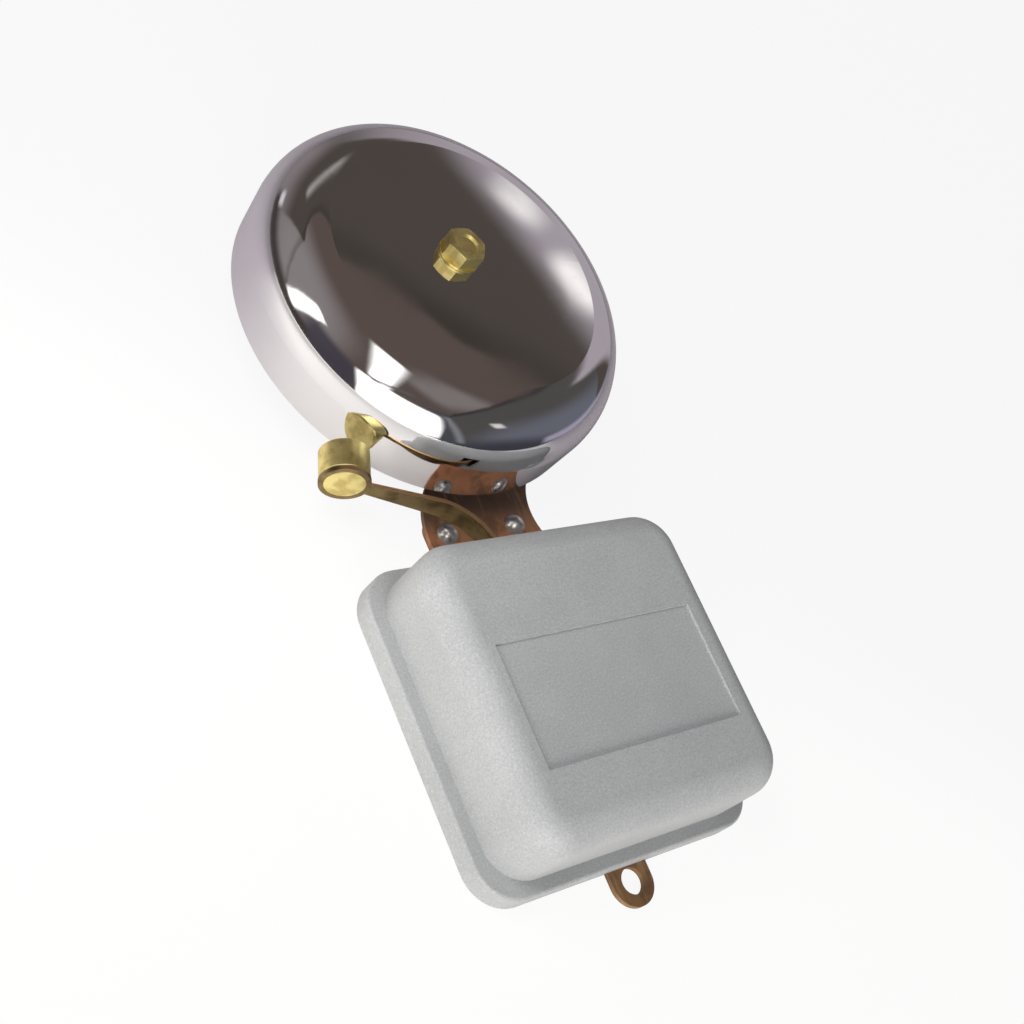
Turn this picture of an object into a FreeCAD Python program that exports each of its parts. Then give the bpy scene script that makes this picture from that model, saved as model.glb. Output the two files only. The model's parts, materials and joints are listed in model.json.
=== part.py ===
import FreeCAD, Part
import math
import os
import re
import Sketcher

# Electric trembler bell for the classroom bench, lying on its back.
# X runs to the right, Y from the fixing lug up to the gong, Z out of the front of the bell.
# The origin is the centre of the lug hole, on the back plane.

sizes = {
    # Chassis plate, lug and gong bracket
    "plate_gauge": 1.0,
    "lug_hole_dia": 4.8,
    "lug_radius": 4.6,
    "chassis_width": 24.0,
    "chassis_shoulder_y": 8.0,
    "chassis_beyond_rivets": 4.1,
    "chassis_corner": 3.0,
    "bracket_foot_gap": 1.0,
    "bracket_foot_left": 12.1,
    "bracket_foot_right": 15.6,
    "bracket_left_bow": 17.2,
    "bracket_right_hollow": 11.6,
    "bracket_shoulder_rise": 15.5,
    "bracket_shoulder_left": 8.0,
    "bracket_shoulder_right": 17.3,
    "bracket_end_radius": 10.0,
    "rivet_setback": 5.0,
    "rivet_half_pitch": 8.1,
    "rivet_head_dia": 4.6,
    "rivet_head_height": 1.6,
    "rivet_shank_dia": 2.6,
    # Gong, its post and its bolt
    "gong_rise": 47.9,
    "gong_radius": 38.4,
    "gong_side_draft": 0.5,
    "gong_rim_z": 8.4,
    "gong_shoulder_z": 17.4,
    "gong_shoulder_radius": 11.2,
    "gong_crown_angle": 86.0,
    "gong_gauge": 0.9,
    "gong_hole_dia": 4.4,
    "post_shift_x": -2.4,
    "post_shift_y": 0.7,
    "post_dia": 8.0,
    "post_tail_dia": 5.0,
    "post_tail_head_dia": 9.0,
    "post_bore_depth": 13.0,
    "seat_washer_dia": 11.0,
    "seat_washer_gauge": 0.6,
    "bolt_thread_dia": 4.0,
    "bolt_flats": 7.0,
    "bolt_head_height": 2.9,
    "bolt_grip": 12.0,
    "bolt_washer_dia": 8.2,
    "bolt_washer_gauge": 0.5,
    "bolt_chamfer": 0.5,
    "bolt_chamfer_fall": 2.0,
    "bolt_dish_dia": 4.8,
    "bolt_dish_depth": 0.5,
    # Base tray
    "base_left_margin": 2.8,
    "base_right_margin": 1.9,
    "base_length": 60.7,
    "base_bottom_y": 2.7,
    "base_height": 4.2,
    "base_corner": 7.8,
    "base_edge_round": 0.6,
    "base_floor": 3.0,
    "notch_half": 19.9,
    "notch_clearance": 0.15,
    "notch_round": 0.8,
    "lip_wall": 1.2,
    "lip_height": 2.0,
    "lip_clearance": 0.15,
    "channel_clearance": 0.2,
    "wire_hole_dia": 7.0,
    "wire_hole_y": 29.2,
    # Cover
    "cover_width": 59.4,
    "cover_margin_bottom": 2.6,
    "cover_margin_top": 1.9,
    "cover_height": 15.5,
    "cover_wall": 1.5,
    "cover_corner": 7.8,
    "cover_front_round": 5.3,
    "panel_width": 45.8,
    "panel_height": 22.3,
    "panel_rise": 13.3,
    "panel_depth": 0.5,
    "arm_slot_width": 5.2,
    "arm_slot_headroom": 0.7,
    # Electromagnet
    "coil_headroom": 0.6,
    "coil_footroom": 1.1,
    "frame_gauge": 1.5,
    "frame_bottom_y": 8.7,
    "frame_end_clearance": 4.5,
    "pole_x": 0.4,
    "yoke_clearance": 7.2,
    "yoke_bottom_y": 20.0,
    "yoke_top_y": 50.5,
    "core_low_y": 27.5,
    "core_pitch": 15.5,
    "core_dia": 5.0,
    "core_clearance": 0.1,
    "pole_proud": 0.8,
    "bobbin_wall": 0.7,
    "flange_gauge": 0.8,
    "winding_recess": 0.3,
    "core_screw_dia": 2.5,
    "core_screw_grip": 5.0,
    "frame_screw_dia": 3.0,
    "frame_screw_x": 6.5,
    "frame_screw_low_y": 14.0,
    "frame_screw_inset": 3.7,
    # Armature, springs and hammer
    "armature_gap": 0.8,
    "armature_gauge": 2.6,
    "armature_width": 7.0,
    "armature_bottom_y": 18.6,
    "armature_top_y": 50.5,
    "tab_top_y": 15.0,
    "spring_gauge": 0.3,
    "spring_width": 6.0,
    "spring_top_y": 27.2,
    "clamp_gauge": 1.0,
    "clamp_screw_low_y": 10.3,
    "clamp_screw_pitch": 3.2,
    "clamp_screw_dia": 1.6,
    "armature_rivet_low_y": 21.0,
    "armature_rivet_pitch": 4.0,
    "armature_rivet_dia": 1.6,
    "contact_spring_gauge": 0.25,
    "contact_spring_width": 4.5,
    "contact_spring_step": 2.6,
    "contact_spring_bend": 1.0,
    "contact_button_dia": 2.0,
    "contact_button_height": 0.6,
    "arm_gauge": 0.8,
    "arm_width": 4.3,
    "arm_tip_width": 2.7,
    "arm_foot_y": 37.5,
    "arm_bend_y": 49.0,
    "arm_lean": 20.0,
    "arm_inner_bend": 6.0,
    "arm_outer_bend": 13.0,
    "arm_outer_flat": 0.12,
    "arm_rivet_low_y": 40.2,
    "arm_rivet_pitch": 5.4,
    "hammer_standoff": 8.15,
    "hammer_bearing": 45.9,
    "hammer_angle": 22.0,
    "hammer_dia": 9.0,
    "hammer_length": 6.0,
    "hammer_spigot_dia": 7.3,
    "hammer_edge": 0.35,
    "eyelet_dia": 9.2,
    "eyelet_overlap": 0.45,
    # Contact screw and its pillar
    "contact_y": 36.7,
    "contact_gap": 0.05,
    "contact_screw_dia": 3.0,
    "contact_tip_dia": 1.6,
    "contact_tip_length": 1.6,
    "screw_running_fit": 0.05,
    "pillar_from_chassis": 3.4,
    "pillar_width": 6.0,
    "pillar_over_screw": 3.4,
    "lock_nut_flats": 5.5,
    "lock_nut_height": 2.2,
    "contact_head_dia": 6.4,
    "contact_head_length": 2.8,
    "contact_head_gap": 0.4,
    "pillar_screw_dia": 2.5,
    "pillar_screw_head_dia": 4.6,
    "pillar_screw_sink": 1.4,
    "pillar_screw_grip": 5.0,
    # Terminals
    "block_clearance": 10.7,
    "block_bottom_y": 10.0,
    "block_width": 13.4,
    "block_length": 14.0,
    "block_height": 6.0,
    "block_rib_height": 2.6,
    "block_rib_width": 1.0,
    "block_rib_length": 8.5,
    "block_screw_rise": 2.7,
    "terminal_pitch": 6.6,
    "terminal_rise": 8.4,
    "terminal_plate_width": 4.8,
    "terminal_plate_length": 8.6,
    "terminal_plate_gauge": 0.8,
    "terminal_screw_dia": 3.0,
    "terminal_head_dia": 4.8,
    "terminal_grip": 4.5,
    # Small fasteners and wires
    "head_height": 1.5,
    "head_ratio": 1.9,
    "slot_width": 0.7,
    "slot_depth": 0.7,
    "small_rivet_height": 0.7,
    "wire_dia": 1.2,
    "lead_stub": 3.0,
    "lead_clearance": 1.5,
    "lead_end_inset": 1.0,
    "coil_tail_inset": 5.0,
    "coil_tail_rise": 3.2,
}

doc = FreeCAD.newDocument("bell")
dims = doc.addObject("Spreadsheet::Sheet", "dims")
for row, (alias, size) in enumerate(sizes.items(), start=1):
    dims.set(f"A{row}", alias.replace("_", " "))
    dims.set(f"B{row}", str(size))
    dims.setAlias(f"B{row}", alias)
doc.recompute()

vector = FreeCAD.Vector
nodes = []

# Places that several pieces share, each worked out from the sheet's own sizes.
places = {
    "cover_half_width": "(cover_width / 2)",
    "base_left": "(cover_width / 2 + base_left_margin)",
    "base_right": "(cover_width / 2 + base_right_margin)",
    "cover_bottom_y": "(base_bottom_y + cover_margin_bottom)",
    "base_top_y": "(base_bottom_y + base_length)",
    "cover_top_y": "(base_top_y - cover_margin_top)",
    "cover_front_z": "(base_height + cover_height)",
    "foot_top_z": "(base_floor + frame_gauge)",
    "bracket_foot_y": "(base_top_y + bracket_foot_gap)",
    "rivet_y": "(bracket_foot_y + rivet_setback)",
    "chassis_top_y": "(rivet_y + chassis_beyond_rivets)",
    "gong_y": "(base_top_y + gong_rise)",
    "post_x": "post_shift_x",
    "post_y": "(gong_y + post_shift_y)",
    "flange_dia": "(cover_front_z - cover_wall - coil_headroom - foot_top_z - coil_footroom)",
    "coil_dia": "(flange_dia - 2 * winding_recess)",
    "magnet_axis_z": "(foot_top_z + coil_footroom + flange_dia / 2)",
    "hammer_x": "(-(gong_radius + hammer_standoff) * cos(hammer_bearing))",
    "hammer_y": "(gong_y - (gong_radius + hammer_standoff) * sin(hammer_bearing))",
    "frame_top_y": "(cover_top_y - frame_end_clearance)",
    "frame_screw_high_y": "(frame_top_y - frame_screw_inset)",
    "yoke_x": "(cover_half_width - yoke_clearance)",
    "block_x": "(block_clearance - cover_half_width)",
    "pillar_x": "(-(chassis_width / 2 + pillar_from_chassis))",
    "armature_face_x": "(pole_x - armature_gap)",
    "armature_back_x": "(pole_x - armature_gap - armature_gauge)",
    "spring_back_x": "(pole_x - armature_gap - armature_gauge - spring_gauge)",
    "contact_spring_back_x":
        "(pole_x - armature_gap - armature_gauge - spring_gauge - contact_spring_gauge)",
    "button_x": "(contact_spring_back_x - contact_spring_step - contact_button_height)",
    "bracket_top_z": "(2 * plate_gauge)",
    "crown_z": "(gong_shoulder_z + gong_shoulder_radius"
        " + (gong_radius - gong_shoulder_radius) * (1 - sin(gong_crown_angle)) / cos(gong_crown_angle))",
    "crown_radius": "(gong_shoulder_radius + (gong_radius - gong_shoulder_radius) / cos(gong_crown_angle))",
    "seat_reach": "(seat_washer_dia / 2 + sqrt(post_shift_x ^ 2 + post_shift_y ^ 2))",
    "seat_fall": "(crown_radius - gong_gauge - sqrt((crown_radius - gong_gauge) ^ 2 - seat_reach ^ 2))",
    "post_top_z": "(crown_z - gong_gauge - seat_fall - seat_washer_gauge)",
    "plate_top_z": "(base_floor + block_height + terminal_plate_gauge)",
}


def spelled(text):
    """An expression with each shared place written out in the sheet's sizes."""
    word = re.compile(r"[a-z]\w+")
    while any(name in places for name in word.findall(text)):
        text = word.sub(lambda found: places.get(found.group(), found.group()), text)
    return word.sub(lambda found: "dims." * (found.group() in sizes) + found.group(), text)


def number(text):
    """The value of an expression, for a shape that is built point by point."""
    found = dims.evalExpression(spelled(text))
    return getattr(found, "Value", found)


def tie(piece, **settings):
    """Bind properties to expressions; a double underscore stands for the dot in a property's path."""
    for path, text in settings.items():
        piece.setExpression(path.replace("__", "."), spelled(text))
    return piece


turns = {
    "x": FreeCAD.Rotation(vector(0, 1, 0), 90),
    "-x": FreeCAD.Rotation(vector(0, 1, 0), -90),
    "y": FreeCAD.Rotation(vector(1, 0, 0), -90),
    "z": FreeCAD.Rotation(),
    "-z": FreeCAD.Rotation(vector(1, 0, 0), 180),
}
opposite = {"x": "-x", "-x": "x", "z": "-z", "-z": "z"}


def put(piece, x, y, z, axis="z"):
    piece.Placement = FreeCAD.Placement(vector(), turns[axis])
    return tie(piece, Placement__Base__x=x, Placement__Base__y=y, Placement__Base__z=z)


def box(name, x, y, z):
    """A block between a low and a high place on each axis."""
    piece = doc.addObject("Part::Box", name)
    length, width, height = (f"{high} - ({low})" for low, high in (x, y, z))
    tie(piece, Length=length, Width=width, Height=height)
    return put(piece, x[0], y[0], z[0])


def rod(name, radius, length, point, axis="z"):
    piece = doc.addObject("Part::Cylinder", name)
    tie(piece, Radius=radius, Height=length)
    return put(piece, *point, axis)


def prism(name, flats, height, point, axis="z"):
    piece = doc.addObject("Part::Prism", name)
    piece.Polygon = 6
    tie(piece, Circumradius=f"{flats} / 2 / cos(30)", Height=height)
    return put(piece, *point, axis)


def along(point, axis, distance):
    """The point moved along an axis, as three expressions."""
    moved = list(point)
    sign = "-" if axis.startswith("-") else "+"
    index = "xyz".index(axis[-1])
    moved[index] = f"{point[index]} {sign} ({distance})"
    return tuple(moved)


def dome(name, diameter, height, point, axis="z"):
    """A round head whose flat side lies at the point."""
    ball = f"(({diameter} / 2) ^ 2 + {height} ^ 2) / (2 * {height})"
    piece = doc.addObject("Part::Sphere", name)
    tie(piece, Radius=ball, Angle1=f"asin(1 - {height} / ({ball}))")
    return put(piece, *along(point, axis, f"{height} - {ball}"), axis)


def fuse(name, *pieces):
    piece = doc.addObject("Part::MultiFuse", name)
    piece.Shapes = list(pieces)
    return piece


def cut(name, blank, *tools):
    piece = doc.addObject("Part::Cut", name)
    piece.Base = blank
    piece.Tool = tools[0] if len(tools) == 1 else fuse(name + "_tools", *tools)
    return piece


def node(piece, label):
    """Name a finished sub-part, which gets a file of its own."""
    piece.Label = label
    nodes.append(piece)
    return piece


def group(label, pieces):
    """Identical pieces that share one node as separate solids."""
    together = doc.addObject("Part::Compound", label)
    together.Links = pieces
    return node(together, label)


def shaped(label, shape):
    """A sub-part whose shape is worked out in code."""
    piece = doc.addObject("Part::Feature", label)
    piece.Shape = shape
    piece.Placement = FreeCAD.Placement()
    return node(piece, label)


def rivet(name, point, axis, head_diameter, head_height, shank_diameter, grip):
    """A round head on the axis side of the point and a plain shank on the other."""
    head = dome(name + "_head", head_diameter, head_height, point, axis)
    shank = rod(name + "_shank", f"{shank_diameter} / 2", grip, point, opposite[axis])
    return fuse(name, head, shank)


def screw(name, point, axis, head_diameter, head_height, shank_diameter, grip):
    """A slotted cheese-head screw that seats at the point."""
    head = rod(name + "_head", f"({head_diameter}) / 2", head_height, point, axis)
    shank = rod(name + "_shank", f"{shank_diameter} / 2", grip, point, opposite[axis])
    across = ("slot_width / 2", f"({head_diameter})", "slot_depth")
    if axis.endswith("x"):
        across = ("slot_depth", "slot_width / 2", f"({head_diameter})")
    top = along(point, axis, head_height)
    slot = box(name + "_slot", *[(f"{at} - {reach}", f"{at} + {reach}") for at, reach in zip(top, across)])
    return cut(name, fuse(name + "_blank", head, shank), slot)


def body(label):
    return node(doc.addObject("PartDesign::Body", label), label)


def sketch_in(owner, name, plane="XY_Plane", height="0"):
    sketch = owner.newObject("Sketcher::SketchObject", name)
    sketch.AttachmentSupport = [(next(o for o in owner.Origin.OriginFeatures if o.Role == plane), "")]
    sketch.MapMode = "FlatFace"
    return tie(sketch, AttachmentOffset__Base__z=height)


def hold(sketch, kind, places_held, text):
    """A driving dimension bound to an expression, or a lock to the axis where the place is zero."""
    if text == "0":
        axis = -2 if kind == "DistanceX" else -1
        sketch.addConstraint(Sketcher.Constraint("PointOnObject", *places_held, axis))
        return
    held = places_held if kind == "Radius" else (-1, 1, *places_held)
    index = sketch.addConstraint(Sketcher.Constraint(kind, *held, number(text)))
    sketch.setExpression(f"Constraints[{index}]", spelled(text))


def outline(sketch, corners, arcs=None):
    """A closed outline whose corners and arc radii are held to expressions.

    Arcs maps the number of the edge after a corner to its radius; a minus means that it bulges left.
    """
    arcs = arcs or {}
    first = sketch.GeometryCount
    points = [vector(number(x), number(y), 0) for x, y in corners]
    ends = []
    for index, start in enumerate(points):
        end = points[(index + 1) % len(points)]
        if index not in arcs:
            sketch.addGeometry(Part.LineSegment(start, end))
            ends.append((1, 2))
            continue
        radius = number(arcs[index])
        chord = end - start
        left = vector(-chord.y, chord.x, 0).normalize() * math.copysign(1, radius)
        centre = (start + end) / 2 + left * math.sqrt(radius ** 2 - chord.Length ** 2 / 4)
        order = (start, end) if radius > 0 else (end, start)
        angles = [math.atan2(point.y - centre.y, point.x - centre.x) for point in order]
        circle = Part.Circle(centre, vector(0, 0, 1), abs(radius))
        sketch.addGeometry(Part.ArcOfCircle(circle, *angles))
        ends.append((1, 2) if radius > 0 else (2, 1))
    for index, (x, y) in enumerate(corners):
        following = (index + 1) % len(corners)
        edge = first + index
        joint = (edge, ends[index][1], first + following, ends[following][0])
        sketch.addConstraint(Sketcher.Constraint("Coincident", *joint))
        hold(sketch, "DistanceX", (edge, ends[index][0]), x)
        hold(sketch, "DistanceY", (edge, ends[index][0]), y)
    for index, radius in arcs.items():
        hold(sketch, "Radius", (first + index,), f"abs({radius})")


def rectangle(sketch, x, y):
    outline(sketch, [(x[0], y[0]), (x[1], y[0]), (x[1], y[1]), (x[0], y[1])])


def rounded(sketch, left, right, bottom, top, radius):
    """A rectangle with round corners, whose sides lie left and right of the Y axis."""
    inner_left, inner_right = f"({radius}) - ({left})", f"{right} - ({radius})"
    low, high = f"{bottom} + ({radius})", f"{top} - ({radius})"
    corners = [
        (inner_left, bottom), (inner_right, bottom), (right, low), (right, high),
        (inner_right, top), (inner_left, top), (f"-({left})", high), (f"-({left})", low),
    ]
    outline(sketch, corners, {1: radius, 3: radius, 5: radius, 7: radius})


def circle(sketch, x, y, radius):
    """A circle held by its centre and radius."""
    centre = vector(number(x), number(y), 0)
    index = sketch.addGeometry(Part.Circle(centre, vector(0, 0, 1), number(radius)))
    hold(sketch, "DistanceX", (index, 3), x)
    hold(sketch, "DistanceY", (index, 3), y)
    hold(sketch, "Radius", (index,), radius)


def solid_from(owner, kind, sketch, length, reverse=False):
    """A pad, or a pocket that is checked to have cut something."""
    doc.recompute()
    before = owner.Shape.Volume if kind == "Pocket" else 0
    feature = owner.newObject("PartDesign::" + kind, f"{sketch.Name}_{kind.lower()}")
    feature.Profile = sketch
    feature.Reversed = reverse
    tie(feature, Length=length)
    doc.recompute()
    if kind == "Pocket" and not feature.Shape.Volume < before:
        raise ValueError(sketch.Name + " cuts nothing")
    return feature


def edges(feature, test):
    """The names of the edges of a feature that pass a test."""
    return [f"Edge{index}" for index, edge in enumerate(feature.Shape.Edges, start=1) if test(edge)]


def flat_at(height):
    """A test for edges that lie wholly at one height."""
    return lambda edge: all(abs(vertex.Z - height) < 0.001 for vertex in edge.Vertexes)


def rounded_off(owner, feature, radius, test):
    """A fillet along the chosen edges of a feature."""
    fillet = owner.newObject("PartDesign::Fillet", feature.Name + "_round")
    fillet.Base = (feature, edges(feature, test))
    tie(fillet, Radius=radius)
    doc.recompute()
    return fillet


def route(points, radii=None):
    """A path of straight runs joined by tangent arcs.

    Where no radii are given each arc is as large as its two runs allow.
    """
    pieces = []
    start = points[0]
    for index in range(1, len(points) - 1):
        corner = points[index]
        back = points[index - 1] - corner
        ahead = points[index + 1] - corner
        turn = math.pi - back.getAngle(ahead)
        radius = 0.45 * min(back.Length, ahead.Length) / math.tan(turn / 2)
        if radii:
            radius = radii[index - 1]
        reach = radius * math.tan(turn / 2)
        inward = (back.normalize() + ahead.normalize()).normalize()
        middle = corner + inward * (radius / math.cos(turn / 2) - radius)
        first, last = corner + back * reach, corner + ahead * reach
        pieces += [Part.LineSegment(start, first).toShape(), Part.Arc(first, middle, last).toShape()]
        start = last
        if not radii:
            print(f"bend radius {radius:.2f} on a wire of {number('wire_dia')}")
    pieces.append(Part.LineSegment(start, points[-1]).toShape())
    return Part.Wire(pieces)


def wire(label, points):
    """An insulated lead along its route."""
    spine = route([vector(*(number(part) for part in point)) for point in points])
    start = spine.Edges[0]
    ring = Part.Circle(start.valueAt(start.FirstParameter), start.tangentAt(start.FirstParameter),
                       number("wire_dia / 2"))
    lead = spine.makePipeShell([Part.Wire(ring.toShape())], True, False)
    return shaped(label, lead)


def strip(points, radii, gauge, width, middle_z):
    """A flat strip on edge, bent along a route in a plane across Z."""
    spine = route([vector(x, y, middle_z) for x, y in points], radii)
    start = spine.Edges[0]
    ahead = start.tangentAt(start.FirstParameter)
    side = vector(-ahead.y, ahead.x, 0) * (gauge / 2)
    rise = vector(0, 0, width / 2)
    foot = start.valueAt(start.FirstParameter)
    corners = [foot - side - rise, foot + side - rise, foot + side + rise, foot - side + rise]
    return spine.makePipeShell([Part.makePolygon(corners + corners[:1])], True, False)


# Chassis plate: the flat strip behind the base that ends in the fixing lug.
def make_chassis_plate():
    plate = body("chassis_plate")
    sketch = sketch_in(plate, "chassis_outline")
    half, corner = "chassis_width / 2", "chassis_corner"
    corners = [
        ("lug_radius", "0"), ("lug_radius", "chassis_shoulder_y"), (half, "chassis_shoulder_y"),
        (half, "chassis_top_y - chassis_corner"), (f"{half} - {corner}", "chassis_top_y"),
        (f"{corner} - {half}", "chassis_top_y"), (f"-{half}", "chassis_top_y - chassis_corner"),
        (f"-{half}", "chassis_shoulder_y"), ("-lug_radius", "chassis_shoulder_y"), ("-lug_radius", "0"),
        ("0", "-lug_radius"),
    ]
    outline(sketch, corners, {3: corner, 5: corner, 9: "lug_radius", 10: "lug_radius"})
    circle(sketch, "0", "0", "lug_hole_dia / 2")
    for x in ("rivet_half_pitch", "-rivet_half_pitch"):
        circle(sketch, x, "rivet_y", "rivet_shank_dia / 2")
    for y in ("frame_screw_low_y", "frame_screw_high_y"):
        circle(sketch, "frame_screw_x", y, "frame_screw_dia / 2")
    solid_from(plate, "Pad", sketch, "plate_gauge")


# Gong bracket: the cranked plate riveted over the chassis plate to carry the post.
def make_gong_bracket():
    bracket = body("gong_bracket")
    sketch = sketch_in(bracket, "bracket_outline", height="plate_gauge")
    end = "bracket_end_radius"
    shoulder_y = "bracket_foot_y + bracket_shoulder_rise"
    corners = [
        ("bracket_foot_right", "bracket_foot_y"), ("bracket_shoulder_right", shoulder_y),
        (f"post_x + {end}", "post_y"), ("post_x", f"post_y + {end}"), (f"post_x - {end}", "post_y"),
        ("-bracket_shoulder_left", shoulder_y), ("-bracket_foot_left", "bracket_foot_y"),
    ]
    outline(sketch, corners, {0: "-bracket_right_hollow", 2: end, 3: end, 5: "bracket_left_bow"})
    for x in ("rivet_half_pitch", "-rivet_half_pitch"):
        circle(sketch, x, "rivet_y", "rivet_shank_dia / 2")
    circle(sketch, "post_x", "post_y", "post_tail_dia / 2")
    solid_from(bracket, "Pad", sketch, "plate_gauge")


def make_neck_rivets():
    rivets = []
    for x in ("-rivet_half_pitch", "rivet_half_pitch"):
        point = (x, "rivet_y", "bracket_top_z")
        rivets.append(rivet("neck_rivet", point, "z", "rivet_head_dia", "rivet_head_height",
                            "rivet_shank_dia", "2 * plate_gauge"))
    group("neck_rivets", rivets)


# Gong: a pressed dome of even gauge, its shoulder and crown two tangent arcs.
def make_gong():
    gong = body("gong")
    tie(gong, Placement__Base__y="gong_y")
    sketch = sketch_in(gong, "gong_section", plane="XZ_Plane")
    middle = "(gong_radius - gong_shoulder_radius)"
    inner = "(gong_shoulder_radius - gong_gauge)"
    meet = ("cos(gong_crown_angle)", "sin(gong_crown_angle)")
    corners = [
        ("gong_radius - gong_side_draft - gong_gauge", "gong_rim_z"),
        ("gong_radius - gong_side_draft", "gong_rim_z"),
        ("gong_radius", "gong_shoulder_z"),
        (f"{middle} + gong_shoulder_radius * {meet[0]}",
         f"gong_shoulder_z + gong_shoulder_radius * {meet[1]}"),
        ("0", "crown_z"), ("0", "crown_z - gong_gauge"),
        (f"{middle} + {inner} * {meet[0]}", f"gong_shoulder_z + {inner} * {meet[1]}"),
        ("gong_radius - gong_gauge", "gong_shoulder_z"),
    ]
    arcs = {2: "gong_shoulder_radius", 3: "crown_radius", 5: "gong_gauge - crown_radius", 6: f"-{inner}"}
    outline(sketch, corners, arcs)
    doc.recompute()
    shell = gong.newObject("PartDesign::Revolution", "gong_shell")
    shell.Profile = sketch
    shell.ReferenceAxis = (sketch, ["V_Axis"])
    doc.recompute()
    hole = sketch_in(gong, "gong_hole", height="crown_z + gong_gauge")
    circle(hole, "post_shift_x", "post_shift_y", "gong_hole_dia / 2")
    solid_from(gong, "Pocket", hole, "3 * gong_gauge")


# Gong post: shouldered on the bracket, clenched behind it and tapped for the bolt.
def make_gong_post():
    seat = ("post_x", "post_y", "bracket_top_z")
    column = rod("post_column", "post_dia / 2", "post_top_z - bracket_top_z", seat)
    tail = rod("post_tail", "post_tail_dia / 2", "plate_gauge", along(seat, "z", "-plate_gauge"))
    clench = rod("post_clench", "post_tail_head_dia / 2", "plate_gauge", ("post_x", "post_y", "0"))
    bore = rod("post_bore", "bolt_thread_dia / 2", "post_bore_depth",
               ("post_x", "post_y", "post_top_z - post_bore_depth"))
    node(cut("gong_post", fuse("post_blank", column, tail, clench), bore), "gong_post")


def washer(label, diameter, hole, gauge, point):
    disc = rod(label + "_disc", f"{diameter} / 2", gauge, point)
    node(cut(label, disc, rod(label + "_hole", f"{hole} / 2", gauge, point)), label)


# Gong bolt: a hexagon head with a chamfered, dished top.
def make_gong_bolt():
    seat = ("post_x", "post_y", "crown_z + bolt_washer_gauge")
    hexagon = prism("bolt_hexagon", "bolt_flats", "bolt_head_height", seat)
    cone = doc.addObject("Part::Cone", "bolt_crown")
    corner = "(bolt_flats / 2 / cos(30))"
    tie(cone, Radius1=f"{corner} - bolt_chamfer + bolt_head_height * bolt_chamfer_fall",
        Radius2=f"{corner} - bolt_chamfer", Height="bolt_head_height")
    put(cone, *seat)
    head = doc.addObject("Part::MultiCommon", "bolt_head")
    head.Shapes = [hexagon, cone]
    shank = rod("bolt_shank", "bolt_thread_dia / 2", "bolt_grip", along(seat, "z", "-bolt_grip"))
    dish = doc.addObject("Part::Cone", "bolt_dish")
    tie(dish, Radius1="bolt_dish_dia / 2 - bolt_dish_depth", Radius2="bolt_dish_dia / 2",
        Height="bolt_dish_depth")
    put(dish, *along(seat, "z", "bolt_head_height - bolt_dish_depth"))
    node(cut("gong_bolt", fuse("bolt_blank", head, shank), dish), "gong_bolt")


# Base tray: a shallow moulding with a locating lip for the cover and a channel for the chassis plate.
def make_base_tray():
    tray = body("base_tray")
    plate = sketch_in(tray, "tray_outline")
    rounded(plate, "base_left", "base_right", "base_bottom_y", "base_top_y", "base_corner")
    solid_from(tray, "Pad", plate, "base_height")

    beyond = "base_top_y + base_height"
    notch = sketch_in(tray, "neck_notch", height="base_height")
    rectangle(notch, ("-notch_half", "notch_half"), ("cover_top_y + notch_clearance", beyond))
    blank = solid_from(tray, "Pocket", notch, "base_height")
    end_x, end_y = number("notch_half"), number("base_top_y")
    blank = rounded_off(tray, blank, "notch_round", lambda edge: all(
        abs(abs(vertex.X) - end_x) < 0.001 and abs(vertex.Y - end_y) < 0.001 for vertex in edge.Vertexes))
    rounded_off(tray, blank, "base_edge_round", flat_at(number("base_height")))

    def inside_cover(sketch, inset):
        side = f"cover_half_width - ({inset})"
        rounded(sketch, side, side, f"cover_bottom_y + {inset}", f"cover_top_y - ({inset})",
                f"cover_corner - ({inset})")

    lip = sketch_in(tray, "lip_outline", height="base_height")
    inside_cover(lip, "cover_wall + lip_clearance")
    solid_from(tray, "Pad", lip, "lip_height")
    well = sketch_in(tray, "well_outline", height="base_height + lip_height")
    inside_cover(well, "cover_wall + lip_clearance + lip_wall")
    solid_from(tray, "Pocket", well, "base_height + lip_height - base_floor")

    channel = sketch_in(tray, "channel_outline")
    narrow, wide = "lug_radius + channel_clearance", "chassis_width / 2 + channel_clearance"
    shoulder = "chassis_shoulder_y - channel_clearance"
    corners = [
        (narrow, "0"), (narrow, shoulder), (wide, shoulder), (wide, beyond),
        (f"-({wide})", beyond), (f"-({wide})", shoulder), (f"-({narrow})", shoulder), (f"-({narrow})", "0"),
    ]
    outline(channel, corners)
    solid_from(tray, "Pocket", channel, "plate_gauge", reverse=True)

    holes = sketch_in(tray, "floor_holes", height="base_floor")
    for y in ("frame_screw_low_y", "frame_screw_high_y"):
        circle(holes, "frame_screw_x", y, "frame_screw_dia / 2")
    circle(holes, "pillar_x", "contact_y", "pillar_screw_dia / 2")
    circle(holes, "block_x", "block_bottom_y + block_screw_rise", "pillar_screw_dia / 2")
    circle(holes, "block_x", "wire_hole_y", "wire_hole_dia / 2")
    solid_from(tray, "Pocket", holes, "base_floor")
    sink = sketch_in(tray, "pillar_screw_sink")
    circle(sink, "pillar_x", "contact_y", "pillar_screw_head_dia / 2")
    solid_from(tray, "Pocket", sink, "pillar_screw_sink", reverse=True)


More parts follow.
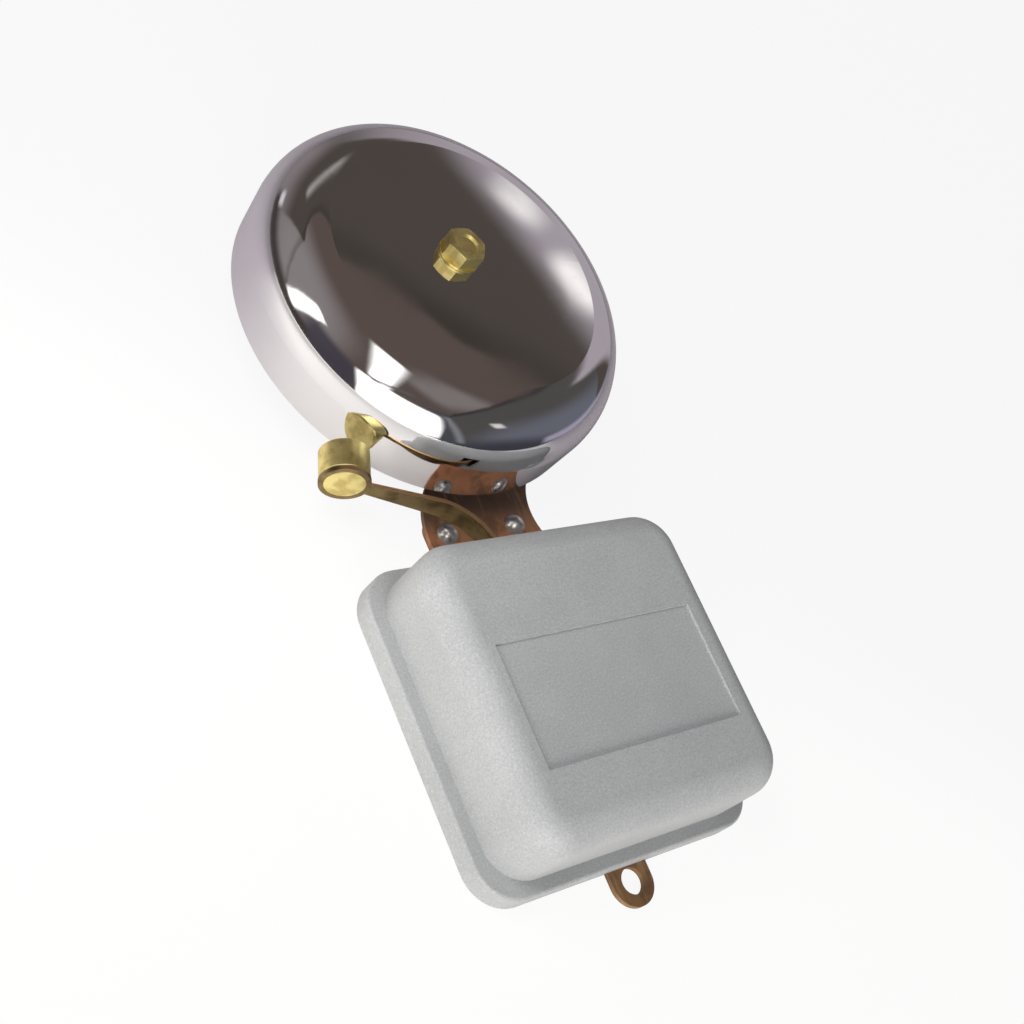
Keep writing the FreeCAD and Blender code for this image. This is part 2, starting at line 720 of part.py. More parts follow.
# Cover: a deep moulding with a soft front edge, a sunk blank panel and a slot for the hammer arm.
def make_cover():
    cover = body("cover")
    sketch = sketch_in(cover, "cover_outline", height="base_height")
    rounded(sketch, "cover_half_width", "cover_half_width", "cover_bottom_y", "cover_top_y", "cover_corner")
    block = solid_from(cover, "Pad", sketch, "cover_height")
    eased = rounded_off(cover, block, "cover_front_round", flat_at(number("cover_front_z")))
    back = min(range(len(eased.Shape.Faces)), key=lambda index: eased.Shape.Faces[index].CenterOfMass.z)
    shell = cover.newObject("PartDesign::Thickness", "cover_shell")
    shell.Base = (eased, [f"Face{back + 1}"])
    shell.Reversed = True
    tie(shell, Value="cover_wall")
    doc.recompute()

    panel = sketch_in(cover, "panel_outline", height="cover_front_z")
    low = "cover_bottom_y + panel_rise"
    rectangle(panel, ("-panel_width / 2", "panel_width / 2"), (low, f"{low} + panel_height"))
    solid_from(cover, "Pocket", panel, "panel_depth")

    slot = sketch_in(cover, "arm_slot", height="base_height")
    middle = "armature_back_x - arm_gauge / 2 - (cover_top_y - cover_wall / 2 - arm_bend_y) * tan(arm_lean)"
    sides = (f"{middle} - arm_slot_width / 2", f"{middle} + arm_slot_width / 2")
    rectangle(slot, sides, ("cover_top_y - 2 * cover_wall", "cover_top_y + cover_wall"))
    solid_from(cover, "Pocket", slot, "magnet_axis_z + arm_width / 2 + arm_slot_headroom - base_height",
               reverse=True)


# Magnet frame: one bent steel piece with a foot, the yoke on the right and the spring tab on the left.
def make_magnet_frame():
    frame = body("magnet_frame")
    foot = sketch_in(frame, "frame_foot", height="base_floor")
    right = "yoke_x + frame_gauge"
    rectangle(foot, ("armature_back_x", right), ("frame_bottom_y", "frame_top_y"))
    solid_from(frame, "Pad", foot, "frame_gauge")
    yoke = sketch_in(frame, "frame_yoke", height="base_floor")
    rectangle(yoke, ("yoke_x", right), ("yoke_bottom_y", "yoke_top_y"))
    solid_from(frame, "Pad", yoke, "magnet_axis_z + flange_dia / 2 - base_floor")
    tab = sketch_in(frame, "frame_tab", height="base_floor")
    rectangle(tab, ("armature_back_x", "armature_back_x + frame_gauge"), ("frame_bottom_y", "tab_top_y"))
    blank = solid_from(frame, "Pad", tab, "magnet_axis_z + armature_width / 2 - base_floor")
    rounded_off(frame, blank, "frame_gauge / 2", lambda edge: flat_at(number("base_floor"))(edge)
                and abs(edge.tangentAt(edge.FirstParameter).y) > 0.999)
    holes = sketch_in(frame, "frame_screw_holes", height="foot_top_z")
    for y in ("frame_screw_low_y", "frame_screw_high_y"):
        circle(holes, "frame_screw_x", y, "frame_screw_dia / 2")
    solid_from(frame, "Pocket", holes, "frame_gauge")
    holes = sketch_in(frame, "core_screw_holes", plane="YZ_Plane", height=right)
    for y in ("core_low_y", "core_low_y + core_pitch"):
        circle(holes, y, "magnet_axis_z", "core_screw_dia / 2")
    solid_from(frame, "Pocket", holes, "frame_gauge")
    holes = sketch_in(frame, "clamp_screw_holes", plane="YZ_Plane", height="armature_back_x + frame_gauge")
    for y in ("clamp_screw_low_y", "clamp_screw_low_y + clamp_screw_pitch"):
        circle(holes, y, "magnet_axis_z", "clamp_screw_dia / 2")
    solid_from(frame, "Pocket", holes, "frame_gauge")


# Electromagnet: two cores on the yoke, each with a bobbin and a winding.
def make_electromagnet():
    cores, bobbins, windings, screws = [], [], [], []
    length = "(yoke_x - pole_x - pole_proud)"
    barrel = "(core_dia / 2 + core_clearance + bobbin_wall)"
    for y in ("core_low_y", "core_low_y + core_pitch"):
        pole = ("pole_x", y, "magnet_axis_z")
        core = rod("core_bar", "core_dia / 2", "yoke_x - pole_x", pole, "x")
        tapped = rod("core_tapping", "core_screw_dia / 2", "core_screw_grip",
                     ("yoke_x - core_screw_grip", y, "magnet_axis_z"), "x")
        cores.append(cut("magnet_core", core, tapped))
        start = along(pole, "x", "pole_proud")
        tube = rod("bobbin_tube", barrel, length, start, "x")
        near = rod("bobbin_near_flange", "flange_dia / 2", "flange_gauge", start, "x")
        far = rod("bobbin_far_flange", "flange_dia / 2", "flange_gauge",
                  along(start, "x", f"{length} - flange_gauge"), "x")
        bore = rod("bobbin_bore", "core_dia / 2 + core_clearance", length, start, "x")
        bobbins.append(cut("coil_bobbin", fuse("bobbin_blank", tube, near, far), bore))
        inside = along(start, "x", "flange_gauge")
        copper = rod("winding_outside", "coil_dia / 2", f"{length} - 2 * flange_gauge", inside, "x")
        hollow = rod("winding_inside", barrel, f"{length} - 2 * flange_gauge", inside, "x")
        windings.append(cut("coil_winding", copper, hollow))
        seat = ("yoke_x + frame_gauge", y, "magnet_axis_z")
        screws.append(screw("core_screw", seat, "x", "core_screw_dia * head_ratio", "head_height",
                            "core_screw_dia", "core_screw_grip + frame_gauge"))
    group("magnet_cores", cores)
    group("coil_bobbins", bobbins)
    group("coil_windings", windings)
    group("core_screws", screws)


def make_frame_screws():
    screws = []
    for y in ("frame_screw_low_y", "frame_screw_high_y"):
        screws.append(screw("frame_screw", ("frame_screw_x", y, "foot_top_z"), "z",
                            "frame_screw_dia * head_ratio", "head_height", "frame_screw_dia", "foot_top_z"))
    group("frame_screws", screws)


# Armature: the soft iron bar that the cores pull, hung on a leaf spring from the frame's tab.
def make_armature():
    width = ("magnet_axis_z - armature_width / 2", "magnet_axis_z + armature_width / 2")
    bar = box("armature_bar", ("armature_back_x", "armature_face_x"),
              ("armature_bottom_y", "armature_top_y"), width)
    holes = []
    low_rivets = [f"armature_rivet_low_y + {step} * armature_rivet_pitch" for step in range(2)]
    arm_rivets = [f"arm_rivet_low_y + {step} * arm_rivet_pitch" for step in range(2)]
    for y in low_rivets + arm_rivets:
        holes.append(rod("armature_hole", "armature_rivet_dia / 2", "armature_gauge",
                         ("armature_back_x", y, "magnet_axis_z"), "x"))
    node(cut("armature", bar, *holes), "armature")

    band = ("magnet_axis_z - spring_width / 2", "magnet_axis_z + spring_width / 2")
    leaf = box("leaf", ("spring_back_x", "armature_back_x"), ("frame_bottom_y", "spring_top_y"), band)
    clamp_screws = [f"clamp_screw_low_y + {step} * clamp_screw_pitch" for step in range(2)]
    holes = []
    for diameter, heights in (("armature_rivet_dia", low_rivets), ("clamp_screw_dia", clamp_screws)):
        for y in heights:
            holes.append(rod("leaf_hole", f"{diameter} / 2", "spring_gauge",
                             ("spring_back_x", y, "magnet_axis_z"), "x"))
    node(cut("armature_spring", leaf, *holes), "armature_spring")

    clamp_back = "spring_back_x - clamp_gauge"
    plate = box("clamp_plate", (clamp_back, "spring_back_x"), ("frame_bottom_y", "tab_top_y"), band)
    holes = [rod("clamp_hole", "clamp_screw_dia / 2", "clamp_gauge", (clamp_back, y, "magnet_axis_z"), "x")
             for y in clamp_screws]
    node(cut("spring_clamp", plate, *holes), "spring_clamp")
    group("clamp_screws", [screw("clamp_screw", (clamp_back, y, "magnet_axis_z"), "-x",
                                 "clamp_screw_dia * head_ratio", "head_height", "clamp_screw_dia",
                                 "clamp_gauge + spring_gauge + frame_gauge") for y in clamp_screws])

    def small_rivets(label, seat_x, grip, heights):
        lengths = ("armature_rivet_dia * head_ratio", "small_rivet_height", "armature_rivet_dia", grip)
        group(label, [rivet("small_rivet", (seat_x, y, "magnet_axis_z"), "-x", *lengths) for y in heights])

    small_rivets("armature_rivets", "contact_spring_back_x",
                 "contact_spring_gauge + spring_gauge + armature_gauge", low_rivets)
    small_rivets("arm_rivets", "armature_back_x - arm_gauge", "arm_gauge + armature_gauge", arm_rivets)


# Contact spring: riveted over the leaf spring and stepped out to the contact screw.
def make_contact_spring():
    gauge = number("contact_spring_gauge")
    middle_x = number("spring_back_x - contact_spring_gauge / 2")
    step = number("contact_spring_step")
    foot_y = number("armature_bottom_y")
    bend_y = number("spring_top_y") + gauge
    points = [(middle_x, foot_y), (middle_x, bend_y),
              (middle_x - step, number("contact_y - contact_button_dia")),
              (middle_x - step, number("contact_y + contact_button_dia"))]
    bend = number("contact_spring_bend")
    blade = strip(points, [bend, bend], gauge, number("contact_spring_width"), number("magnet_axis_z"))
    for step_up in range(2):
        y = number(f"armature_rivet_low_y + {step_up} * armature_rivet_pitch")
        start = vector(middle_x - gauge, y, number("magnet_axis_z"))
        hole = Part.makeCylinder(number("armature_rivet_dia / 2"), 2 * gauge, start, vector(1, 0, 0))
        blade = blade.cut(hole)
    shaped("contact_spring", blade)
    node(rod("contact_button", "contact_button_dia / 2", "contact_button_height",
             ("button_x", "contact_y", "magnet_axis_z"), "x"), "contact_button")


def hammer_places():
    """The middle of the hammer's back face and the way that it faces, toward the gong."""
    angle = math.radians(number("hammer_angle"))
    back = vector(number("hammer_x"), number("hammer_y"), number("magnet_axis_z"))
    return back, vector(math.sin(angle), math.cos(angle), 0)


# Hammer arm: a strip on edge, leaned to the left, bent round to the hammer and ended in a ring.
def make_hammer_arm():
    gauge, width, middle_z = number("arm_gauge"), number("arm_width"), number("magnet_axis_z")
    back, facing = hammer_places()
    ring_middle = back - facing * (gauge / 2)
    outward = vector(-facing.y, facing.x, 0)
    foot_x = number("armature_back_x - arm_gauge / 2")
    lean = math.radians(number("arm_lean"))
    bend = vector(foot_x, number("arm_bend_y"), middle_z)
    leaning = vector(-math.sin(lean), math.cos(lean), 0)
    offset = ring_middle - bend
    run = (offset.x * outward.y - offset.y * outward.x) / (leaning.x * outward.y - leaning.y * outward.x)
    corner = bend + leaning * run
    reach = number("arm_outer_bend") * math.tan(leaning.getAngle(outward) / 2)
    shoulder = corner + outward * (reach + number("arm_outer_flat"))
    points = [(foot_x, number("arm_foot_y"))] + [(place.x, place.y) for place in (bend, corner, shoulder)]
    radii = [number("arm_inner_bend"), number("arm_outer_bend")]
    root = strip(points, radii, gauge, width, middle_z)

    def end_section(place, height):
        side, rise = facing * (gauge / 2), vector(0, 0, height / 2)
        corners = [place - side - rise, place + side - rise, place + side + rise, place - side + rise]
        return Part.makePolygon(corners + corners[:1])

    ring_radius = number("eyelet_dia / 2")
    neck = ring_middle - outward * (ring_radius - number("eyelet_overlap"))
    tip = Part.makeLoft([end_section(shoulder, width), end_section(neck, number("arm_tip_width"))], True)
    disc = Part.makeCylinder(ring_radius, gauge, back - facing * gauge, facing)
    hole = Part.makeCylinder(number("hammer_spigot_dia / 2"), gauge, back - facing * gauge, facing)
    arm = root.fuse([tip, disc]).removeSplitter().cut(hole)
    for step_up in range(2):
        y = number(f"arm_rivet_low_y + {step_up} * arm_rivet_pitch")
        start = vector(foot_x - gauge, y, middle_z)
        hole = Part.makeCylinder(number("armature_rivet_dia / 2"), 2 * gauge, start, vector(1, 0, 0))
        arm = arm.cut(hole)
    shaped("hammer_arm", arm)


# Hammer: a turned brass slug with a spigot that fills the arm's ring.
def make_hammer():
    back, facing = hammer_places()
    slug = Part.makeCylinder(number("hammer_dia / 2"), number("hammer_length"), back, facing)
    slug = slug.makeChamfer(number("hammer_edge"), [edge for edge in slug.Edges if edge.Closed])
    spigot = Part.makeCylinder(number("hammer_spigot_dia / 2"), number("arm_gauge"),
                               back - facing * number("arm_gauge"), facing)
    shaped("hammer", slug.fuse(spigot).removeSplitter())


# Contact screw: it runs through the pillar and is held by a lock nut.
def make_contact():
    axis_y, axis_z = "contact_y", "magnet_axis_z"
    tip_x = "(button_x - contact_gap)"
    post_left = "(pillar_x - pillar_width / 2)"
    bore = "contact_screw_dia / 2 + screw_running_fit"
    half = "pillar_width / 2"
    block = box("pillar_block", ("pillar_x - " + half, "pillar_x + " + half),
                ("contact_y - " + half, "contact_y + " + half),
                ("base_floor", "magnet_axis_z + pillar_over_screw"))
    through = rod("pillar_bore", bore, "pillar_width", (post_left, axis_y, axis_z), "x")
    tapped = rod("pillar_tapping", "pillar_screw_dia / 2", "pillar_screw_grip",
                 ("pillar_x", axis_y, "base_floor"))
    node(cut("contact_pillar", block, through, tapped), "contact_pillar")

    head = rod("pillar_screw_head", "pillar_screw_head_dia / 2", "pillar_screw_sink - slot_depth / 2",
               ("pillar_x", axis_y, "slot_depth / 2"))
    shank = rod("pillar_screw_shank", "pillar_screw_dia / 2", "base_floor + pillar_screw_grip - slot_depth",
                ("pillar_x", axis_y, "slot_depth"))
    slot = box("pillar_screw_slot", ("pillar_x - slot_width / 2", "pillar_x + slot_width / 2"),
               ("contact_y - pillar_screw_head_dia", "contact_y + pillar_screw_head_dia"),
               ("0", "slot_depth"))
    node(cut("pillar_screw", fuse("pillar_screw_blank", head, shank), slot), "pillar_screw")

    nut_x = f"{post_left} - lock_nut_height"
    nut = prism("nut_hexagon", "lock_nut_flats", "lock_nut_height", (nut_x, axis_y, axis_z), "x")
    node(cut("contact_lock_nut", nut, rod("nut_bore", bore, "lock_nut_height", (nut_x, axis_y, axis_z), "x")),
         "contact_lock_nut")

    head_x = f"{nut_x} - contact_head_gap"
    tip = rod("contact_tip", "contact_tip_dia / 2", "contact_tip_length",
              (f"{tip_x} - contact_tip_length", axis_y, axis_z), "x")
    thread = rod("contact_thread", "contact_screw_dia / 2", f"{tip_x} - contact_tip_length - ({head_x})",
                 (head_x, axis_y, axis_z), "x")
    head = screw("contact_head", (head_x, axis_y, axis_z), "-x", "contact_head_dia", "contact_head_length",
                 "contact_screw_dia", "contact_head_gap")
    node(fuse("contact_screw", tip, thread, head), "contact_screw")


# Terminal block: a ribbed insulating block with a plate and a screw for each wire.
def make_terminals():
    half = "block_width / 2"
    across = ("block_x - " + half, "block_x + " + half)
    top_z = "base_floor + block_height"
    block = box("block_body", across, ("block_bottom_y", "block_bottom_y + block_length"),
                ("base_floor", top_z))
    top_y = "block_bottom_y + block_length"
    rib = box("block_rib", ("block_x - block_rib_width / 2", "block_x + block_rib_width / 2"),
              (f"{top_y} - block_rib_length", top_y), (top_z, f"{top_z} + block_rib_height"))
    screw_y = "block_bottom_y + terminal_rise"
    places_x = {"left": "block_x - terminal_pitch / 2", "right": "block_x + terminal_pitch / 2"}
    sunk_z = "plate_top_z - terminal_grip"
    holes = [rod("block_hole", "terminal_screw_dia / 2 + screw_running_fit", "terminal_grip",
                 (x, screw_y, sunk_z)) for x in places_x.values()]
    fixing = ("block_x", "block_bottom_y + block_screw_rise", top_z)
    holes.append(rod("block_fixing_hole", "pillar_screw_dia / 2", "block_height",
                     along(fixing, "z", "-block_height")))
    node(cut("terminal_block", fuse("block_blank", block, rib), *holes), "terminal_block")
    node(screw("block_screw", fixing, "z", "pillar_screw_dia * head_ratio", "head_height", "pillar_screw_dia",
               "block_height + base_floor - plate_gauge"), "block_screw")

    plates = []
    for x in places_x.values():
        plate = box("plate_blank", (f"{x} - terminal_plate_width / 2", f"{x} + terminal_plate_width / 2"),
                    (f"{top_y} - terminal_plate_length", top_y), (top_z, "plate_top_z"))
        hole = rod("plate_hole", "terminal_screw_dia / 2 + screw_running_fit", "terminal_plate_gauge",
                   (x, screw_y, top_z))
        plates.append(cut("terminal_plate", plate, hole))
    group("terminal_plates", plates)
    for side, x in places_x.items():
        name = f"terminal_screw_{side}"
        node(screw(name, (x, screw_y, "plate_top_z + contact_gap"), "z", "terminal_head_dia",
                   "head_height", "terminal_screw_dia", "terminal_grip"), name)


# Leads: terminal to coil, coil to coil, coil to frame and terminal to pillar.
def make_leads():
    plate_end = "block_bottom_y + block_length"
    lead_z = "plate_top_z - wire_dia / 2"
    right = "block_x + terminal_pitch / 2"
    under = "foot_top_z + wire_dia / 2 + contact_gap"
    wire("contact_lead", [
        (right, f"{plate_end} + contact_gap", lead_z),
        (right, f"{plate_end} + lead_stub", lead_z),
        ("pillar_x", "contact_y - pillar_width / 2 - lead_stub", "base_floor + wire_dia"),
        ("pillar_x", "contact_y - pillar_width / 2 - contact_gap", "base_floor + wire_dia"),
    ])
    tail_x = "yoke_x - coil_tail_inset"
    high_y = "core_low_y + core_pitch + coil_dia / 2"
    wire("coil_link", [
        (tail_x, "core_low_y + coil_dia / 2 + contact_gap", "magnet_axis_z"),
        (tail_x, "core_low_y + core_pitch - coil_dia / 2 - contact_gap", "magnet_axis_z"),
    ])
    wire("frame_lead", [
        (tail_x, f"{high_y} + contact_gap", "magnet_axis_z"),
        (tail_x, f"{high_y} + coil_tail_rise", "magnet_axis_z"),
        (tail_x, f"{high_y} + coil_tail_rise", "foot_top_z + contact_gap"),
    ])
    wire("terminal_lead", [
        ("block_x + block_width / 2 + contact_gap", "block_bottom_y + block_length / 2", under),
        ("armature_back_x - lead_stub", "block_bottom_y + block_length / 2", under),
        ("pole_x", "core_low_y - coil_dia / 2 - lead_clearance", under),
        ("pole_x + pole_proud + coil_tail_rise", "core_low_y - lead_end_inset", under),
    ])


make_chassis_plate()
make_gong_bracket()
make_neck_rivets()
make_gong()
make_gong_post()
washer("gong_seat_washer", "seat_washer_dia", "gong_hole_dia", "seat_washer_gauge",
       ("post_x", "post_y", "post_top_z"))
washer("gong_bolt_washer", "bolt_washer_dia", "gong_hole_dia", "bolt_washer_gauge",
       ("post_x", "post_y", "crown_z"))
make_gong_bolt()
make_base_tray()
make_cover()
make_magnet_frame()
make_electromagnet()
make_frame_screws()
make_armature()
make_contact_spring()
make_hammer_arm()
make_hammer()
make_contact()
make_terminals()
make_leads()
doc.recompute()

for piece in doc.Objects:
    if "Invalid" in piece.State or "Error" in piece.State:
        raise ValueError(f"{piece.Label} did not build: {piece.State}")
for piece in nodes:
    if piece.Shape.isNull() or not piece.Shape.isValid():
        raise ValueError(f"{piece.Label} has no valid shape")

os.makedirs("parts", exist_ok=True)
for piece in nodes:
    piece.Shape.exportStep(f"parts/{piece.Label}.step")
    print(f"{piece.Label}: {len(piece.Shape.Solids)} solid, {piece.Shape.Volume:.1f} cubic mm")
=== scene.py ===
import bmesh
import bpy
import json
import math
from mathutils import Matrix, Vector


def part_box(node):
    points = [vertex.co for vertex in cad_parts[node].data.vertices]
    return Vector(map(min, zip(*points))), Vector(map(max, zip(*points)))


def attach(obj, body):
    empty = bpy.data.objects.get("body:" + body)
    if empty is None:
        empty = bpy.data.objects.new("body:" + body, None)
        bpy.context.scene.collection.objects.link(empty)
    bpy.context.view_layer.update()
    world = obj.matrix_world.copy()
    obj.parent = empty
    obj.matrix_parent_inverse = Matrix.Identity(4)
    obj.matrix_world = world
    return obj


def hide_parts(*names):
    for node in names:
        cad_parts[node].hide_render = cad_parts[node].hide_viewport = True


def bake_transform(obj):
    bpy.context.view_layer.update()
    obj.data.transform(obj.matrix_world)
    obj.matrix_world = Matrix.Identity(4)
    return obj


# Looks for the classroom trembler bell. Metres; the bell lies on its back on the bench.
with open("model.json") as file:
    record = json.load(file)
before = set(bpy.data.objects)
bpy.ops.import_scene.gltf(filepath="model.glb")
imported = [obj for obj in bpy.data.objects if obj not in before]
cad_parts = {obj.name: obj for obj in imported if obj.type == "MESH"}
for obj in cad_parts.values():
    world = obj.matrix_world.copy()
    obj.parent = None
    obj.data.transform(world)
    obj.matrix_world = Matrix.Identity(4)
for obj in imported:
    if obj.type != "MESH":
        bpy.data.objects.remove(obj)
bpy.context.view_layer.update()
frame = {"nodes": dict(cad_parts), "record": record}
nodes = frame["nodes"]
print("frame loaded,", len(nodes), "nodes")


class Flow:
    # one socket, so that shader sums read as plain arithmetic
    def __init__(self, tree, socket):
        self.tree = tree
        self.socket = socket

    def maths(self, operation, *terms):
        return self.tree.add("ShaderNodeMath", {"operation": operation}, terms)

    def __add__(self, other):
        return self.maths("ADD", self, other)

    def __radd__(self, other):
        return self.maths("ADD", other, self)

    def __mul__(self, other):
        return self.maths("MULTIPLY", self, other)

    def __rmul__(self, other):
        return self.maths("MULTIPLY", other, self)

    def __truediv__(self, other):
        return self.maths("DIVIDE", self, other)

    def __rtruediv__(self, other):
        return self.maths("DIVIDE", other, self)

    def __gt__(self, other):
        return self.maths("GREATER_THAN", self, other)

    def __lt__(self, other):
        return self.maths("LESS_THAN", self, other)


class Tree:
    # the node tree of a material or of the world, with one way to add a node
    noiseRoughness = 0.55
    edgeSamples = 4

    def __init__(self, owner):
        owner.use_nodes = True
        self.tree = owner.node_tree
        self.tree.nodes.clear()

    def add(self, kind, settings=None, sockets=None, out=0):
        node = self.tree.nodes.new(kind)
        for name, value in (settings or {}).items():
            setattr(node, name, value)
        pairs = sockets.items() if isinstance(sockets, dict) else enumerate(sockets or [])
        for key, value in pairs:
            target = node.inputs[key]
            if isinstance(value, Flow):
                self.tree.links.new(value.socket, target)
            elif target.type == "RGBA" and len(value) == 3:
                target.default_value = (*value, 1)
            else:
                target.default_value = value
        return Flow(self, node.outputs[out]) if node.outputs else None

    # shorthands for the nodes that come up again and again
    def place(self):
        return self.add("ShaderNodeTexCoord", out="Object")

    def stretched(self, scale):
        sockets = {"Vector": self.place(), "Scale": scale}
        return self.add("ShaderNodeMapping", {"vector_type": "POINT"}, sockets)

    def along(self, vector, direction):
        settings = {"operation": "DOT_PRODUCT"}
        return self.add("ShaderNodeVectorMath", settings, [vector, tuple(direction)], out="Value")

    def noise(self, perMetre, detail, stretch=None):
        sockets = {"Vector": self.stretched(stretch) if stretch else self.place(), "Scale": perMetre,
                   "Detail": detail, "Roughness": self.noiseRoughness}
        return self.add("ShaderNodeTexNoise", {"noise_dimensions": "3D"}, sockets)

    def ease(self, value, start, full, share=1.0):
        sockets = {"Value": value, "From Min": start, "From Max": full, "To Min": 0.0, "To Max": share}
        return self.add("ShaderNodeMapRange", {"interpolation_type": "SMOOTHSTEP"}, sockets)

    def mixed(self, factor, first, second, mode="MIX"):
        settings = {"data_type": "RGBA", "blend_type": mode, "clamp_factor": True}
        return self.add("ShaderNodeMix", settings, {0: factor, 6: first, 7: second}, out=2)

    def bumped(self, height, distance, strength, normal=None):
        sockets = {"Height": height, "Distance": distance, "Strength": strength}
        if normal:
            sockets["Normal"] = normal
        return self.add("ShaderNodeBump", None, sockets)

    def softEdge(self, radius):
        return self.add("ShaderNodeBevel", {"samples": self.edgeSamples}, {"Radius": radius})

    def surface(self, sockets):
        shader = self.add("ShaderNodeBsdfPrincipled", None, sockets)
        self.add("ShaderNodeOutputMaterial", None, {"Surface": shader})


def makeFinish(name, build, *details):
    material = bpy.data.materials.new(name)
    build(Tree(material), *details)
    return material


# The camera was solved from the outlines of the cover, base and gong: its axes in the bell's frame.
view = {
    "place": (-0.17493, -0.01893, 0.20104),
    "right": (0.7586, -0.3899, 0.5221),
    "up": (0.1053, 0.8640, 0.4924),
    "back": (-0.6431, -0.3185, 0.6964),
    "sensor": 36.0,
    "focalPixels": 1491.9,
    "imagePixels": 1024,
    "nearest": 0.01,
}


def makeCamera():
    data = bpy.data.cameras.new("bellCamera")
    data.sensor_width = view["sensor"]
    data.lens = view["focalPixels"] * view["sensor"] / view["imagePixels"]
    data.clip_start = view["nearest"]
    camera = bpy.data.objects.new("bellCamera", data)
    turn = Matrix((view["right"], view["up"], view["back"])).transposed()
    bpy.context.scene.view_settings.view_transform = "Standard"
    camera.matrix_world = Matrix.Translation(view["place"]) @ turn.to_quaternion().to_matrix().to_4x4()
    bpy.context.collection.objects.link(camera)
    bpy.context.scene.camera = camera


# Painted light and shade: the bench's colour is brighter towards the window and darker away from it, for how
# the window lights it; the gong's skirt mirrors it.
floorLook = {
    "size": 1.6, "middle": 0.07, "drop": 0.0001, "shown": 0.90, "rough": 0.9,
    # far is the bench's painted shade, near its painted light towards the window
    "far": (0.56, 0.51, 0.55), "near": (0.98, 0.95, 0.92),
    "slope": (-0.6, -0.8, 0.0), "paintedLightFades": (-0.085, -0.030),
    "mottle": 0.97, "mottling": (14.0, 4.0), "mottleFades": (0.3, 0.7),
}


def floorFinish(tree):
    seen = tree.add("ShaderNodeLightPath", out="Is Camera Ray")
    along = tree.along(tree.place(), floorLook["slope"])
    # painted light and shade: the bench is darker away from the window and brighter towards it
    colour = tree.mixed(tree.ease(along, *floorLook["paintedLightFades"]), floorLook["far"], floorLook["near"])
    mottled = tree.ease(tree.noise(*floorLook["mottling"]), *floorLook["mottleFades"])
    colour = tree.mixed(mottled, colour, (floorLook["mottle"],) * 3, "MULTIPLY")
    matt = tree.add("ShaderNodeBsdfPrincipled", None, {"Base Color": colour, "Roughness": floorLook["rough"]})
    paper = tree.add("ShaderNodeEmission", None, {"Color": (1.0, 1.0, 1.0), "Strength": 1.0})
    both = tree.add("ShaderNodeMixShader", None, [seen * floorLook["shown"], matt, paper])
    tree.add("ShaderNodeOutputMaterial", None, {"Surface": both})


def makeFloor():
    half = floorLook["size"] / 2
    mesh = bpy.data.meshes.new("benchTop")
    corners = [(x, y + floorLook["middle"], -floorLook["drop"])
               for x, y in ((-half, -half), (half, -half), (half, half), (-half, half))]
    mesh.from_pydata(corners, [], [(0, 1, 2, 3)])
    floor = bpy.data.objects.new("benchTop", mesh)
    bpy.context.collection.objects.link(floor)
    mesh.materials.append(makeFinish("benchPaper", floorFinish))


def towards(azimuth, elevation):
    azimuth, elevation = math.radians(azimuth), math.radians(elevation)
    flat = math.cos(elevation)
    return Vector((flat * math.cos(azimuth), flat * math.sin(azimuth), math.sin(elevation)))


# Each lamp: where it stands as seen from the bell, how far, how large and how bright its face is.
lamps = {
    "windowLight": {"at": (-115, 14), "far": 0.90, "size": (0.60, 0.42), "shine": 8.5,
                    "colour": (1.0, 0.985, 0.965)},
    "sideLight": {"at": (165, 48), "far": 0.18, "size": (0.09, 0.10), "shine": 6.6,
                  "colour": (1.0, 0.99, 0.975)},
    "leftFill": {"at": (172, 13), "far": 0.75, "size": (0.60, 0.30), "shine": 2.6,
                 "colour": (1.0, 0.99, 0.975)},
}
aim = Vector((0.0, 0.075, 0.012))  # the middle of the bell


def makeLamps():
    for name, lamp in lamps.items():
        data = bpy.data.lights.new(name, "AREA")
        data.shape = "RECTANGLE"
        data.size, data.size_y = lamp["size"]
        data.energy = lamp["shine"] * math.pi * lamp["size"][0] * lamp["size"][1]
        data.color = lamp["colour"]
        lampObject = bpy.data.objects.new(name, data)
        direction = towards(*lamp["at"])
        lampObject.location = aim + direction * lamp["far"]
        lampObject.rotation_euler = direction.to_track_quat("Z", "Y").to_euler()
        lampObject.visible_glossy = False  # metal mirrors the room's windows instead
        bpy.context.collection.objects.link(lampObject)


